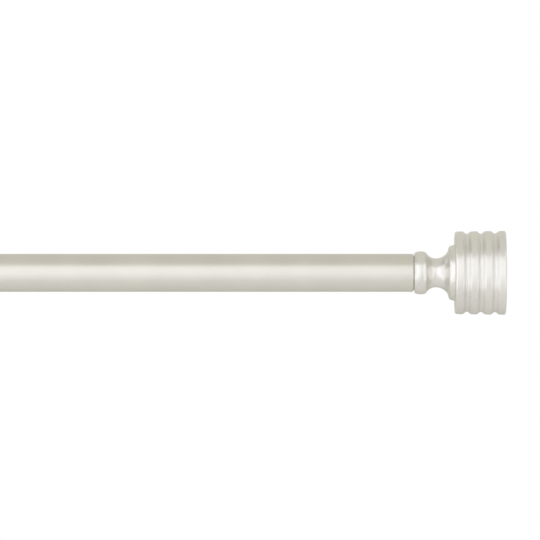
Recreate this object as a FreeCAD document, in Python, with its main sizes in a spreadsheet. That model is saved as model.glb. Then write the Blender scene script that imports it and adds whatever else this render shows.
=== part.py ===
import FreeCAD, Part
import math
import os

import Sketcher
from FreeCAD import Placement, Rotation, Vector

# A telescoping curtain rod on two wall brackets, with a ribbed drum finial on each end.
# Millimetres. +X runs along the rod towards the end of the fixed tube, -Y faces the room and +Z is up.
# The origin is the centre of the right wall plate's back face, on the wall.

SIZES = {
    # rod
    "rod_od": 25.4,
    "rod_wall": 1.0,
    "rod_length": 1219.2,
    "rod_end_round": 0.7,
    "inner_od": 22.2,
    "inner_wall": 0.8,
    "inner_shown": 12.0,
    "extension": 914.4,
    "inner_overlap": 130.0,
    "bush_flange": 1.2,
    "bush_flange_od": 25.8,
    "bush_length": 18.0,
    "slide_gap": 0.08,
    "glide_length": 25.0,
    "glide_lip": 1.5,
    # plugs, nuts and studs
    "plug_length": 22.0,
    "plug_floor": 6.0,
    "plug_hole_od": 6.6,
    "flute_od": 2.4,
    "stud_od": 6.0,
    "stud_in": 15.0,
    "stud_out": 37.0,
    "thread_gap": 0.05,
    "nut_flats": 10.0,
    "nut_height": 5.0,
    "nut_play": 0.3,
    # finial, measured outwards from the tube's end
    "gap_ring": 0.75,
    "gap_ring_od": 23.2,
    "collar_od": 28.6,
    "collar_end": 7.0,
    "bevel_end": 8.7,
    "bevel_od": 26.2,
    "waist": 15.0,
    "waist_od": 19.3,
    "base_start": 23.0,
    "flare_od": 28.6,
    "base_od": 37.3,
    "drum_start": 27.7,
    "drum_length": 34.0,
    "drum_od": 55.2,
    "drum_spread": 1.0,
    "drum_bore": 49.4,
    "drum_face": 3.0,
    "dish_od": 46.0,
    "dish_depth": 1.0,
    "disc_od": 52.0,
    "disc_thick": 2.0,
    "groove_first": 8.0,
    "groove_pitch": 9.4,
    "groove_depth": 1.7,
    "groove_floor": 1.4,
    "groove_mouth": 5.0,
    "groove_over": 0.5,
    # brackets
    "bracket_spacing": 558.8,
    "projection": 95.0,
    "rod_drop": 5.0,
    "plate_od": 53.0,
    "plate_thick": 2.0,
    "nub_od": 3.2,
    "wall_hole_od": 4.6,
    "wall_hole_spacing": 34.0,
    "cover_od": 56.0,
    "cover_rim": 4.5,
    "cover_step_od": 49.0,
    "cover_step": 8.0,
    "cover_hub_od": 23.0,
    "cover_depth": 13.0,
    "cover_skin": 1.2,
    "cover_gap": 0.3,
    "sleeve_od": 16.0,
    "sleeve_end": 58.0,
    "sleeve_floor": 12.0,
    "lock_collar_od": 18.4,
    "lock_collar": 13.0,
    "arm_od": 10.0,
    "arm_gap": 0.1,
    "arm_length": 62.0,
    "arm_flat": 0.6,
    "strap_thick": 2.0,
    "strap_width": 14.0,
    "cradle_id": 26.8,
    "back_leg": 14.0,
    "front_leg": 7.0,
    "pad_thick": 0.6,
    "pad_width": 12.0,
    "pad_leg": 4.0,
    "boss_od": 11.0,
    "boss_end": 21.0,
    # fasteners
    "lock_od": 5.0,
    "lock_tip_od": 3.6,
    "lock_tip": 1.2,
    "lock_pin_od": 2.4,
    "lock_pin": 3.0,
    "lock_neck_od": 7.2,
    "lock_neck": 1.5,
    "knob_od": 12.5,
    "knob_height": 8.0,
    "touch_gap": 0.1,
    "arm_bolt_od": 5.0,
    "arm_bolt_head": 9.6,
    "arm_bolt_length": 11.0,
    "cradle_screw_od": 4.0,
    "cradle_screw_head": 7.6,
    "cradle_screw_length": 10.5,
    "wall_screw_od": 4.0,
    "wall_screw_head": 8.0,
    "wall_screw_head_height": 2.6,
    "wall_screw_length": 34.0,
    "wall_screw_point": 4.0,
    "anchor_od": 6.0,
    "anchor_length": 32.0,
    "relief_gap": 0.4,
    "relief_depth": 0.5,
}

GROOVES = 3
FLUTES = 8
KNURLS = 24
PLATE_NUBS = 3
SIDES = ("right", "left")

ALONG = Rotation(Vector(0, 0, 1), 0)  # a turned part's own axis, local X, runs to +X
BACK_ALONG = Rotation(Vector(0, 0, 1), 180)  # to -X
OUTWARD = Rotation(Vector(0, 0, 1), -90)  # to -Y, away from the wall
INWARD = Rotation(Vector(0, 0, 1), 90)  # to +Y, into the wall
DOWNWARD = Rotation(Vector(0, 1, 0), 90)  # to -Z
PRIMITIVE_ALONG = Rotation(Vector(0, 1, 0), 90)  # turns a primitive's own Z axis to local X
PRIMITIVE_BACK = Rotation(Vector(0, 1, 0), -90)  # turns it to local -X


class Size:
    """A length that carries its number and the spreadsheet expression that gives it."""

    def __init__(self, value, text):
        self.value = float(value)
        self.text = text

    def __add__(self, other):
        other = as_size(other)
        return Size(self.value + other.value, f"({self.text} + {other.text})")

    def __sub__(self, other):
        other = as_size(other)
        return Size(self.value - other.value, f"({self.text} - {other.text})")

    def __mul__(self, other):
        other = as_size(other)
        return Size(self.value * other.value, f"({self.text} * {other.text})")

    def __truediv__(self, other):
        other = as_size(other)
        return Size(self.value / other.value, f"({self.text} / {other.text})")

    def __neg__(self):
        return self * -1


class Driving:
    """Gives each driving dimension as a Size: s.rod_od is bound to the cell whose alias is rod_od."""

    def __getattr__(self, alias):
        return Size(SIZES[alias], "sizes." + alias)


def as_size(item):
    return item if isinstance(item, Size) else Size(item, f"({float(item)})")


s = Driving()
doc = FreeCAD.newDocument("curtain_rod")
exported = []


def make_sheet():
    """Writes the driving dimensions into a spreadsheet, one named cell each."""
    sheet = doc.addObject("Spreadsheet::Sheet", "sizes")
    for row, (alias, value) in enumerate(SIZES.items(), start=1):
        sheet.set(f"A{row}", alias)
        sheet.set(f"B{row}", str(value))
        sheet.setAlias(f"B{row}", alias)
    doc.recompute()


# ---- general helpers -------------------------------------------------------------------------


def bind(item, **sizes):
    """Binds properties of an object to sizes."""
    for name, value in sizes.items():
        item.setExpression(name, as_size(value).text)


def place(item, x, y, z, rotation=ALONG):
    """Puts an object at a point bound to sizes."""
    spot = [as_size(value) for value in (x, y, z)]
    item.Placement = Placement(Vector(*[value.value for value in spot]), rotation)
    for axis, value in zip("xyz", spot):
        item.setExpression(f"Placement.Base.{axis}", value.text)


def new_body(name):
    body = doc.addObject("PartDesign::Body", name)
    body.Label = name
    return body


def new_sketch(body, name, plane):
    """A sketch on one of the body's own origin planes."""
    sketch = body.newObject("Sketcher::SketchObject", name)
    support = next(item for item in body.Origin.OriginFeatures if item.Role == plane)
    sketch.AttachmentSupport = [(support, "")]
    sketch.MapMode = "FlatFace"
    return sketch


def arc_between(start, end, radius, turn):
    """The shorter arc from start to end; turn is 1 when it bends left and -1 when it bends right."""
    chord = end - start
    height = math.sqrt(radius**2 - (chord.Length / 2) ** 2)
    left = Vector(-chord.y, chord.x, 0).normalize()
    centre = (start + end) * 0.5 + left * (height * turn)
    first, last = (start, end) if turn > 0 else (end, start)
    angles = [math.atan2(point.y - centre.y, point.x - centre.x) for point in (first, last)]
    if angles[1] < angles[0]:
        angles[1] += 2 * math.pi
    return Part.ArcOfCircle(Part.Circle(centre, Vector(0, 0, 1), radius), *angles)


def outline(sketch, corners):
    """Draws a closed outline and binds every corner to sizes.

    A corner is (along, across). One reached by an arc is (along, across, radius, turn).
    """
    points = [[as_size(value) for value in corner[:2]] for corner in corners]
    spots = [Vector(point[0].value, point[1].value, 0) for point in points]
    starts = []
    for index, corner in enumerate(corners):
        start, end = spots[index - 1], spots[index]
        if len(corner) == 2:
            edge = sketch.addGeometry(Part.LineSegment(start, end), False)
            starts.append((edge, 1, 2))
            continue
        radius, turn = as_size(corner[2]), corner[3]
        edge = sketch.addGeometry(arc_between(start, end, radius.value, turn), False)
        starts.append((edge, 1, 2) if turn > 0 else (edge, 2, 1))
        rule = sketch.addConstraint(Sketcher.Constraint("Radius", edge, radius.value))
        sketch.setExpression(f"Constraints[{rule}]", radius.text)
    for index, (edge, _, end_of) in enumerate(starts):
        following, start_of, _ = starts[(index + 1) % len(starts)]
        sketch.addConstraint(Sketcher.Constraint("Coincident", edge, end_of, following, start_of))
        for kind, axis, value in (("DistanceX", -2, points[index][0]), ("DistanceY", -1, points[index][1])):
            if value.value == 0:
                sketch.addConstraint(Sketcher.Constraint("PointOnObject", edge, end_of, axis))
                continue
            rule = sketch.addConstraint(
                Sketcher.Constraint(kind, -1, 1, edge, end_of, value.value)
            )
            sketch.setExpression(f"Constraints[{rule}]", value.text)


def revolve(body, name, corners, kind="Revolution"):
    """Revolves an outline of (along, radius) corners round the body's own X axis."""
    sketch = new_sketch(body, name + "_outline", "XY_Plane")
    outline(sketch, corners)
    feature = body.newObject("PartDesign::" + kind, name)
    feature.Profile = sketch
    feature.ReferenceAxis = (sketch, ["H_Axis"])
    feature.Angle = 360
    body.Tip = feature
    doc.recompute()
    return feature


def turned(name, corners):
    """A turned part: one body revolved round its own X axis."""
    body = new_body(name)
    revolve(body, name + "_turning", corners)
    return body


def round_edges(body, radius, wanted, kind="Fillet"):
    """Rounds or bevels the edges that wanted(edge) picks, all by one size."""
    base = body.Tip
    names = [f"Edge{i}" for i, edge in enumerate(base.Shape.Edges, start=1) if wanted(edge)]
    if not names:
        raise RuntimeError(f"{body.Label}: no edge to round")
    feature = body.newObject("PartDesign::" + kind, f"{body.Name}_{kind.lower()}")
    feature.Base = (base, names)
    bind(feature, **{"Radius" if kind == "Fillet" else "Size": radius})
    body.Tip = feature
    doc.recompute()


def ring(along, diameter):
    """Picks the round edge at a place along the part's own axis."""
    place_along, radius = as_size(along).value, as_size(diameter).value / 2

    def wanted(edge):
        curve = edge.Curve
        if not isinstance(curve, Part.Circle):
            return False
        return abs(curve.Center.x - place_along) < 0.01 and abs(curve.Radius - radius) < 0.01

    return wanted


def primitive(body, kind, name, spot, rotation, **sizes):
    """Adds or cuts a primitive, such as SubtractiveCylinder, at a spot in the body's own frame."""
    before = body.Tip.Shape.Volume if body.Tip else 0
    feature = body.newObject("PartDesign::" + kind, f"{body.Name}_{name}")
    place(feature, *spot, rotation)
    bind(feature, **sizes)
    body.Tip = feature
    doc.recompute()
    if abs(feature.Shape.Volume - before) < 1e-6:
        raise RuntimeError(f"{body.Label}: {name} changes nothing")
    return feature


def polar(body, feature, count):
    """Repeats a feature evenly round the body's own X axis."""
    axis = next(item for item in body.Origin.OriginFeatures if item.Role == "X_Axis")
    pattern = body.newObject("PartDesign::PolarPattern", f"{feature.Name}_round")
    pattern.Originals = [feature]
    pattern.Axis = (axis, [""])
    pattern.Angle = 360
    pattern.Occurrences = count
    body.Tip = pattern
    doc.recompute()


def export(item, name):
    """Marks an object as a sub-part; its label names its file."""
    item.Label = name
    exported.append(item)


# ---- places ----------------------------------------------------------------------------------


def overhang():
    return (s.rod_length - s.bracket_spacing) / 2


def bracket_x(side):
    return as_size(0) if side == "right" else -s.bracket_spacing


def rod_end_x(side):
    return overhang() if side == "right" else overhang() - s.rod_length


def at_rod_end(item, side):
    """Puts a part on the rod's axis with its own X running outwards from that end of the rod."""
    rotation = ALONG if side == "right" else BACK_ALONG
    place(item, rod_end_x(side), -s.projection, -s.rod_drop, rotation)


def on_wall(item, side, out=0, up=0, rotation=OUTWARD):
    """Puts a part on a bracket, with out measured from the wall and up from the arm's axis."""
    place(item, bracket_x(side), -as_size(out), up, rotation)


# ---- rod -------------------------------------------------------------------------------------


def make_outer_tube():
    start = s.inner_shown + s.bush_flange
    length = s.rod_length - start
    bore = s.rod_od / 2 - s.rod_wall
    tube = turned("outer_tube", [(0, bore), (0, s.rod_od / 2), (length, s.rod_od / 2), (length, bore)])
    round_edges(tube, s.rod_end_round, ring(length, s.rod_od))
    place(tube, rod_end_x("left") + start, -s.projection, -s.rod_drop)
    export(tube, "outer_tube")


def inner_length():
    return s.inner_shown + s.bush_flange + s.extension + s.inner_overlap


def make_inner_tube():
    bore = s.inner_od / 2 - s.inner_wall
    length = inner_length()
    tube = turned("inner_tube", [(0, bore), (0, s.inner_od / 2), (length, s.inner_od / 2), (length, bore)])
    place(tube, rod_end_x("left"), -s.projection, -s.rod_drop)
    export(tube, "inner_tube")


def make_mouth_bush():
    """A flanged nylon bush that lines the open end of the outer tube."""
    bore = s.inner_od / 2 + s.slide_gap
    tube_bore = s.rod_od / 2 - s.rod_wall
    end = s.bush_flange + s.bush_length
    corners = [
        (0, bore),
        (0, s.bush_flange_od / 2),
        (s.bush_flange, s.bush_flange_od / 2),
        (s.bush_flange, tube_bore),
        (end, tube_bore),
        (end, bore),
    ]
    bush = turned("tube_mouth_bush", corners)
    round_edges(bush, s.bush_flange / 3, ring(0, s.bush_flange_od))
    place(bush, rod_end_x("left") + s.inner_shown, -s.projection, -s.rod_drop)
    export(bush, "tube_mouth_bush")


def make_glide():
    """A nylon glide round the hidden end of the inner tube, with a lip over the tube's end."""
    radius = s.rod_od / 2 - s.rod_wall - s.slide_gap
    lip_bore = s.inner_od / 2 - s.inner_wall * 2
    end = s.glide_length + s.glide_lip
    corners = [
        (0, s.inner_od / 2),
        (0, radius),
        (end, radius),
        (end, lip_bore),
        (s.glide_length, lip_bore),
        (s.glide_length, s.inner_od / 2),
    ]
    glide = turned("inner_tube_glide", corners)
    place(glide, rod_end_x("left") + inner_length() - s.glide_length, -s.projection, -s.rod_drop)
    export(glide, "inner_tube_glide")


def tube_bore_radius(side):
    if side == "right":
        return s.rod_od / 2 - s.rod_wall
    return s.inner_od / 2 - s.inner_wall


def make_end_plug(side):
    """A fluted nylon plug pressed into the tube's end, with a hexagonal pocket behind its floor."""
    radius = tube_bore_radius(side)
    corners = [
        (-s.plug_length, s.plug_hole_od / 2),
        (0, s.plug_hole_od / 2),
        (0, radius),
        (-s.plug_length + 1, radius),
        (-s.plug_length, radius - 1),
    ]
    plug = turned(f"{side}_end_plug", corners)
    flute = primitive(
        plug,
        "SubtractiveCylinder",
        "flute",
        (-s.plug_length - 1, radius, 0),
        PRIMITIVE_ALONG,
        Radius=s.flute_od / 2,
        Height=s.plug_length - 2,
    )
    polar(plug, flute, FLUTES)
    primitive(
        plug,
        "SubtractivePrism",
        "nut_pocket",
        (-s.plug_length - 1, 0, 0),
        PRIMITIVE_ALONG,
        Circumradius=(s.nut_flats + s.nut_play) / math.sqrt(3),
        Height=s.plug_length + 1 - s.plug_floor,
    )
    at_rod_end(plug, side)
    export(plug, f"{side}_end_plug")


def make_nut(name, side, start, bore_radius):
    """A hex nut with bevelled corners, from start outwards along the rod's axis."""
    nut = new_body(name)
    corner = s.nut_flats / math.sqrt(3)
    primitive(
        nut,
        "AdditivePrism",
        "hexagon",
        (start, 0, 0),
        PRIMITIVE_ALONG,
        Circumradius=corner,
        Height=s.nut_height,
    )
    end = as_size(start) + s.nut_height
    bevel = corner - s.nut_flats / 2
    for index, (face, inside) in enumerate(((as_size(start), 1), (end, -1))):
        corners = [
            (face, s.nut_flats / 2),
            (face, corner + bevel),
            (face + bevel * inside, corner + bevel),
        ]
        revolve(nut, f"{name}_bevel_{index}", corners, "Groove")
    primitive(
        nut,
        "SubtractiveCylinder",
        "bore",
        (as_size(start) - 1, 0, 0),
        PRIMITIVE_ALONG,
        Radius=bore_radius,
        Height=s.nut_height + 2,
    )
    at_rod_end(nut, side)
    export(nut, name)


def make_rod():
    make_outer_tube()
    make_inner_tube()
    make_mouth_bush()
    make_glide()
    for side in SIDES:
        make_end_plug(side)
        seat = -(s.plug_floor + s.nut_height)
        make_nut(f"{side}_plug_nut", side, seat, s.stud_od / 2 + s.thread_gap)


# ---- finials ---------------------------------------------------------------------------------


def make_gap_washer(side):
    """The thin nylon washer that leaves a dark line between tube and collar."""
    bore = s.plug_hole_od / 2
    corners = [(0, bore), (0, s.gap_ring_od / 2), (s.gap_ring, s.gap_ring_od / 2), (s.gap_ring, bore)]
    washer = turned(f"{side}_finial_washer", corners)
    at_rod_end(washer, side)
    export(washer, f"{side}_finial_washer")


def hollow_radius(rise, run):
    """The radius of an arc that starts level at the waist and climbs by rise over run."""
    return (rise * rise + run * run) / (rise * 2)


def make_neck(side):
    """Collar, hollowed neck and base disc, turned in one piece."""
    waist_radius = s.waist_od / 2
    near_hollow = hollow_radius(s.bevel_od / 2 - waist_radius, s.waist - s.bevel_end)
    far_hollow = hollow_radius(s.flare_od / 2 - waist_radius, s.base_start - s.waist)
    corners = [
        (s.gap_ring, s.stud_od / 2),
        (s.gap_ring, s.collar_od / 2),
        (s.collar_end, s.collar_od / 2),
        (s.bevel_end, s.bevel_od / 2),
        (s.waist, waist_radius, near_hollow, 1),
        (s.base_start, s.flare_od / 2, far_hollow, 1),
        (s.base_start, s.base_od / 2),
        (s.drum_start, s.base_od / 2),
        (s.drum_start, s.stud_od / 2),
    ]
    neck = turned(f"{side}_finial_neck", corners)
    round_edges(neck, 1.1, ring(s.gap_ring, s.collar_od))
    round_edges(neck, 1.5, ring(s.collar_end, s.collar_od))
    round_edges(neck, 2.6, ring(s.base_start, s.base_od))
    round_edges(neck, 0.4, ring(s.drum_start, s.base_od))
    at_rod_end(neck, side)
    export(neck, f"{side}_finial_neck")


def drum_radius(along):
    """The drum spreads slightly towards its outer end."""
    return s.drum_od / 2 + s.drum_spread / 2 * along / s.drum_length


def make_drum(side):
    """A cup with four ribs, closed at its outer end by a dished face."""
    end = s.drum_start + s.drum_length
    seat = s.drum_start + s.disc_thick
    outer = drum_radius(s.drum_length)
    corners = [
        (s.drum_start, s.disc_od / 2),
        (s.drum_start, s.drum_od / 2),
        (end, outer),
        (end, s.dish_od / 2 + s.dish_depth),
        (end - s.dish_depth, s.dish_od / 2),
        (end - s.dish_depth, 0),
        (end - s.drum_face, 0),
        (end - s.drum_face, s.drum_bore / 2),
        (seat, s.drum_bore / 2),
        (seat, s.disc_od / 2),
    ]
    drum = turned(f"{side}_finial_drum", corners)
    for index in range(GROOVES):
        along = s.groove_first + s.groove_pitch * index
        middle = s.drum_start + along
        crest = drum_radius(along)
        floor = crest - s.groove_depth
        groove = [
            (middle - s.groove_floor / 2, floor),
            (middle + s.groove_floor / 2, floor),
            (middle + s.groove_mouth / 2, crest + s.groove_over),
            (middle - s.groove_mouth / 2, crest + s.groove_over),
        ]
        revolve(drum, f"{side}_groove_{index}", groove, "Groove")
    smallest_crest = s.drum_od.value / 2 - 0.2
    inner_limit = s.drum_start.value + 3

    def crest_edge(edge):
        return isinstance(edge.Curve, Part.Circle) and edge.Curve.Radius > smallest_crest

    def floor_edge(edge):
        if not isinstance(edge.Curve, Part.Circle):
            return False
        return s.drum_bore.value / 2 + 0.5 < edge.Curve.Radius < smallest_crest and (
            inner_limit < edge.Curve.Center.x < end.value - 3
        )

    round_edges(drum, 1.15, crest_edge)
    round_edges(drum, 0.45, floor_edge)
    at_rod_end(drum, side)
    export(drum, f"{side}_finial_drum")


def make_back_disc(side):
    """The flat disc that closes the drum's inner end, held under the rim."""
    end = s.drum_start + s.disc_thick
    bore = s.stud_od / 2
    corners = [(s.drum_start, bore), (s.drum_start, s.disc_od / 2), (end, s.disc_od / 2), (end, bore)]
    disc = turned(f"{side}_finial_back_disc", corners)
    at_rod_end(disc, side)
    export(disc, f"{side}_finial_back_disc")


def make_stud(side):
    radius = s.stud_od / 2
    corners = [
        (-s.stud_in, 0),
        (-s.stud_in, radius - 0.6),
        (-s.stud_in + 0.6, radius),
        (s.stud_out - 0.6, radius),
        (s.stud_out, radius - 0.6),
        (s.stud_out, 0),
    ]
    stud = turned(f"{side}_finial_stud", corners)
    at_rod_end(stud, side)
    export(stud, f"{side}_finial_stud")


def make_finial(side):
    make_gap_washer(side)
    make_neck(side)
    make_drum(side)
    make_back_disc(side)
    make_stud(side)
    make_nut(f"{side}_finial_nut", side, s.drum_start + s.disc_thick, s.stud_od / 2)


# ---- brackets --------------------------------------------------------------------------------


def make_wall_plate(side):
    """A round plate with a countersunk centre, two wall screw holes and nubs that grip the cover.

    Each hole is wider next to the wall, where a wall anchor may stand a little proud.
    """
    bolt = s.arm_bolt_od / 2 + 0.05
    sink = s.arm_bolt_head / 2 + 0.1
    corners = [(0, sink), (0, s.plate_od / 2), (s.plate_thick, s.plate_od / 2), (s.plate_thick, bolt)]
    plate = turned(f"{side}_wall_plate", corners)
    nub = primitive(
        plate,
        "AdditiveCylinder",
        "nub",
        (0, s.cover_od / 2 - s.cover_skin - s.touch_gap - s.nub_od / 2, 0),
        PRIMITIVE_ALONG,
        Radius=s.nub_od / 2,
        Height=s.plate_thick,
    )
    polar(plate, nub, PLATE_NUBS)
    for where, up in (("upper", s.wall_hole_spacing / 2), ("lower", -s.wall_hole_spacing / 2)):
        primitive(
            plate,
            "SubtractiveCylinder",
            f"{where}_hole",
            (-1, 0, up),
            PRIMITIVE_ALONG,
            Radius=s.wall_hole_od / 2,
            Height=s.plate_thick + 2,
        )
        primitive(
            plate,
            "SubtractiveCylinder",
            f"{where}_anchor_relief",
            (-1, 0, up),
            PRIMITIVE_ALONG,
            Radius=s.anchor_od / 2 + s.relief_gap,
            Height=s.relief_depth + 1,
        )
    on_wall(plate, side)
    export(plate, f"{side}_wall_plate")


def make_wall_cover(side):
    """A stepped, hollow cover that hides the plate and slides forward along the sleeve."""
    bore = s.sleeve_od / 2 + s.cover_gap
    rim, step, hub = s.cover_od / 2, s.cover_step_od / 2, s.cover_hub_od / 2
    corners = [
        (0, rim - s.cover_skin),
        (0, rim),
        (s.cover_rim, rim),
        (s.cover_rim, step),
        (s.cover_step, step),
        (s.cover_step, hub),
        (s.cover_depth, hub),
        (s.cover_depth, bore),
        (s.cover_step - s.cover_skin, bore),
        (s.cover_step - s.cover_skin, step - s.cover_skin),
        (s.cover_rim - s.cover_skin, step - s.cover_skin),
        (s.cover_rim - s.cover_skin, rim - s.cover_skin),
    ]
    cover = turned(f"{side}_wall_cover", corners)
    round_edges(cover, 1.0, ring(s.cover_rim, s.cover_od))
    round_edges(cover, 1.0, ring(s.cover_step, s.cover_step_od))
    round_edges(cover, 1.0, ring(s.cover_depth, s.cover_hub_od))
    on_wall(cover, side)
    export(cover, f"{side}_wall_cover")


def make_arm_sleeve(side):
    """The fixed half of the arm, bored from the front and drilled below for its lock screw."""
    collar_start = s.sleeve_end - s.lock_collar
    bolt = s.arm_bolt_od / 2
    bore = s.arm_od / 2 + s.arm_gap
    corners = [
        (s.plate_thick, bolt),
        (s.plate_thick, s.sleeve_od / 2),
        (collar_start, s.sleeve_od / 2),
        (collar_start, s.lock_collar_od / 2),
        (s.sleeve_end, s.lock_collar_od / 2),
        (s.sleeve_end, bore),
        (s.sleeve_floor, bore),
        (s.sleeve_floor, bolt),
    ]
    sleeve = turned(f"{side}_arm_sleeve", corners)
    round_edges(sleeve, 0.9, ring(collar_start, s.lock_collar_od))
    round_edges(sleeve, 0.9, ring(s.sleeve_end, s.lock_collar_od))
    primitive(
        sleeve,
        "SubtractiveCylinder",
        "lock_hole",
        (arm_lock_out(), 0, -s.lock_collar_od / 2 - 1),
        ALONG,
        Radius=s.lock_od / 2,
        Height=s.lock_collar_od / 2,
    )
    on_wall(sleeve, side)
    export(sleeve, f"{side}_arm_sleeve")


def make_flat_head_screw(name, head_od, head_height, shank_od, length):
    """A countersunk screw with a hexagonal socket, its head's face at the body's origin."""
    corners = [
        (0, 0),
        (0, head_od / 2),
        (head_height, shank_od / 2),
        (length - 0.5, shank_od / 2),
        (length, shank_od / 2 - 0.5),
        (length, 0),
    ]
    screw = turned(name, corners)
    primitive(
        screw,
        "SubtractivePrism",
        "socket",
        (-1, 0, 0),
        PRIMITIVE_ALONG,
        Circumradius=shank_od * 0.34,
        Height=head_height + 0.6,
    )
    return screw


def make_arm_bolt(side):
    name = f"{side}_arm_bolt"
    bolt = make_flat_head_screw(
        name, s.arm_bolt_head, s.plate_thick, s.arm_bolt_od, s.arm_bolt_length
    )
    on_wall(bolt, side)
    export(bolt, name)


def cradle_back():
    """How far the outer face of the cradle's back leg stands from the wall."""
    return s.projection - s.cradle_id / 2 - s.strap_thick


def make_arm_rod(side):
    """The sliding half of the arm, with a long flat below and a threaded hole in its front end."""
    end = cradle_back()
    start = end - s.arm_length
    screw = s.cradle_screw_od / 2
    depth = s.cradle_screw_length - s.strap_thick + 1
    corners = [
        (start, 0),
        (start, s.arm_od / 2 - 0.6),
        (start + 0.6, s.arm_od / 2),
        (end, s.arm_od / 2),
        (end, screw),
        (end - depth, screw),
        (end - depth, 0),
    ]
    arm = turned(f"{side}_arm_rod", corners)
    primitive(
        arm,
        "SubtractiveBox",
        "flat",
        (start + 4, -s.arm_od / 2, -s.arm_od / 2 - 1),
        ALONG,
        Length=s.arm_length - 8,
        Width=s.arm_od,
        Height=s.arm_flat + 1,
    )
    on_wall(arm, side)
    export(arm, f"{side}_arm_rod")


def strap_outline(inside, outside, back_up, front_up):
    """A U bent round the rod's centre, with legs of two heights; the back leg faces the wall."""
    return [
        (-inside, back_up),
        (-outside, back_up),
        (-outside, 0),
        (0, -outside, outside, 1),
        (outside, 0, outside, 1),
        (outside, front_up),
        (inside, front_up),
        (inside, 0),
        (0, -inside, inside, -1),
        (-inside, 0, inside, -1),
    ]


def make_strap(name, corners, width):
    strap = new_body(name)
    sketch = new_sketch(strap, name + "_outline", "XZ_Plane")
    outline(sketch, corners)
    strip = strap.newObject("PartDesign::Pad", name + "_strip")
    strip.Profile = sketch
    strip.SideType = "Symmetric"
    bind(strip, Length=width)
    strap.Tip = strip
    doc.recompute()
    return strap


def make_cradle(side):
    """The open cradle that carries the rod, with a threaded boss below and a countersunk hole behind."""
    inside = s.cradle_id / 2
    outside = inside + s.strap_thick
    corners = strap_outline(inside, outside, s.back_leg, s.front_leg)
    cradle = make_strap(f"{side}_cradle", corners, s.strap_width)
    tops = (s.back_leg.value, s.front_leg.value)

    def leg_corner(edge):
        first, last = (vertex.Point for vertex in (edge.Vertexes[0], edge.Vertexes[-1]))
        crosses = abs(abs(first.x - last.x) - s.strap_thick.value) < 0.01
        return crosses and any(abs(first.z - top) < 0.01 and abs(last.z - top) < 0.01 for top in tops)

    round_edges(cradle, 5.0, leg_corner)
    boss_start = inside + s.strap_thick / 2
    primitive(
        cradle,
        "AdditiveCylinder",
        "boss",
        (0, 0, -s.boss_end),
        ALONG,
        Radius=s.boss_od / 2,
        Height=s.boss_end - boss_start,
    )
    primitive(
        cradle,
        "SubtractiveCylinder",
        "lock_hole",
        (0, 0, -s.boss_end - 1),
        ALONG,
        Radius=s.lock_od / 2,
        Height=s.boss_end,
    )
    primitive(
        cradle,
        "SubtractiveCone",
        "countersink",
        (-inside, 0, s.rod_drop),
        PRIMITIVE_BACK,
        Radius1=s.cradle_screw_head / 2 + 0.1,
        Radius2=s.cradle_screw_od / 2 + 0.05,
        Height=s.strap_thick,
    )
    on_wall(cradle, side, s.projection, -s.rod_drop)
    export(cradle, f"{side}_cradle")


def make_cradle_pad(side):
    """A thin soft lining in the cradle, pierced for the lock screw."""
    outside = s.cradle_id / 2
    inside = outside - s.pad_thick
    pad = make_strap(
        f"{side}_cradle_pad", strap_outline(inside, outside, 0.5, s.pad_leg), s.pad_width
    )
    primitive(
        pad,
        "SubtractiveCylinder",
        "hole",
        (0, 0, -outside - 1),
        ALONG,
        Radius=s.lock_od / 2 + 0.2,
        Height=outside / 2,
    )
    on_wall(pad, side, s.projection, -s.rod_drop)
    export(pad, f"{side}_cradle_pad")


def make_cradle_screw(side):
    name = f"{side}_cradle_screw"
    screw = make_flat_head_screw(
        name, s.cradle_screw_head, s.strap_thick, s.cradle_screw_od, s.cradle_screw_length
    )
    on_wall(screw, side, s.projection - s.cradle_id / 2, 0, INWARD)
    export(screw, name)


def arm_lock_out():
    return s.sleeve_end - s.lock_collar / 2


def make_lock(side, what, reach, out, top):
    """A knurled thumb screw that points up, and the nylon tip that turns freely in its end.

    reach is the distance from the tip's face to the surface that the screw is threaded into.
    """
    tip_corners = [
        (0, 0),
        (0, s.lock_tip_od / 2),
        (s.lock_tip, s.lock_tip_od / 2),
        (s.lock_tip, s.lock_pin_od / 2),
        (s.lock_tip + s.lock_pin, s.lock_pin_od / 2),
        (s.lock_tip + s.lock_pin, 0),
    ]
    tip = turned(f"{side}_{what}_lock_tip", tip_corners)
    pocket = s.lock_pin_od / 2 + s.thread_gap
    pocket_end = s.lock_tip + s.lock_pin + 0.2
    neck_start = reach + 0.5
    knob_start = neck_start + s.lock_neck
    knob_end = knob_start + s.knob_height
    shank = s.lock_od / 2 - s.thread_gap
    screw_corners = [
        (s.lock_tip, pocket),
        (s.lock_tip, shank),
        (neck_start, shank),
        (neck_start, s.lock_neck_od / 2),
        (knob_start, s.lock_neck_od / 2),
        (knob_start, s.knob_od / 2),
        (knob_end, s.knob_od / 2),
        (knob_end, 0),
        (pocket_end, 0),
        (pocket_end, pocket),
    ]
    screw = turned(f"{side}_{what}_lock_screw", screw_corners)
    round_edges(screw, 0.7, ring(knob_start, s.knob_od))
    round_edges(screw, 0.7, ring(knob_end, s.knob_od))
    flute = primitive(
        screw,
        "SubtractiveCylinder",
        "knurl",
        (knob_start - 1, s.knob_od / 2 + 0.2, 0),
        PRIMITIVE_ALONG,
        Radius=0.6,
        Height=s.knob_height + 2,
    )
    polar(screw, flute, KNURLS)
    for item, name in ((tip, "lock_tip"), (screw, "lock_screw")):
        on_wall(item, side, out, top, DOWNWARD)
        export(item, f"{side}_{what}_{name}")


def make_arm_lock(side):
    """Locks the arm's projection: it points at the flat below the arm rod."""
    top = -(s.arm_od / 2 - s.arm_flat + s.touch_gap)
    make_lock(side, "arm", s.lock_collar_od / 2 + top, arm_lock_out(), top)


def make_rod_lock(side):
    """Locks the rod in the cradle, from below."""
    below_rod = s.rod_od / 2 + s.touch_gap
    make_lock(side, "rod", s.boss_end - below_rod, s.projection, -s.rod_drop - below_rod)


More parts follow.
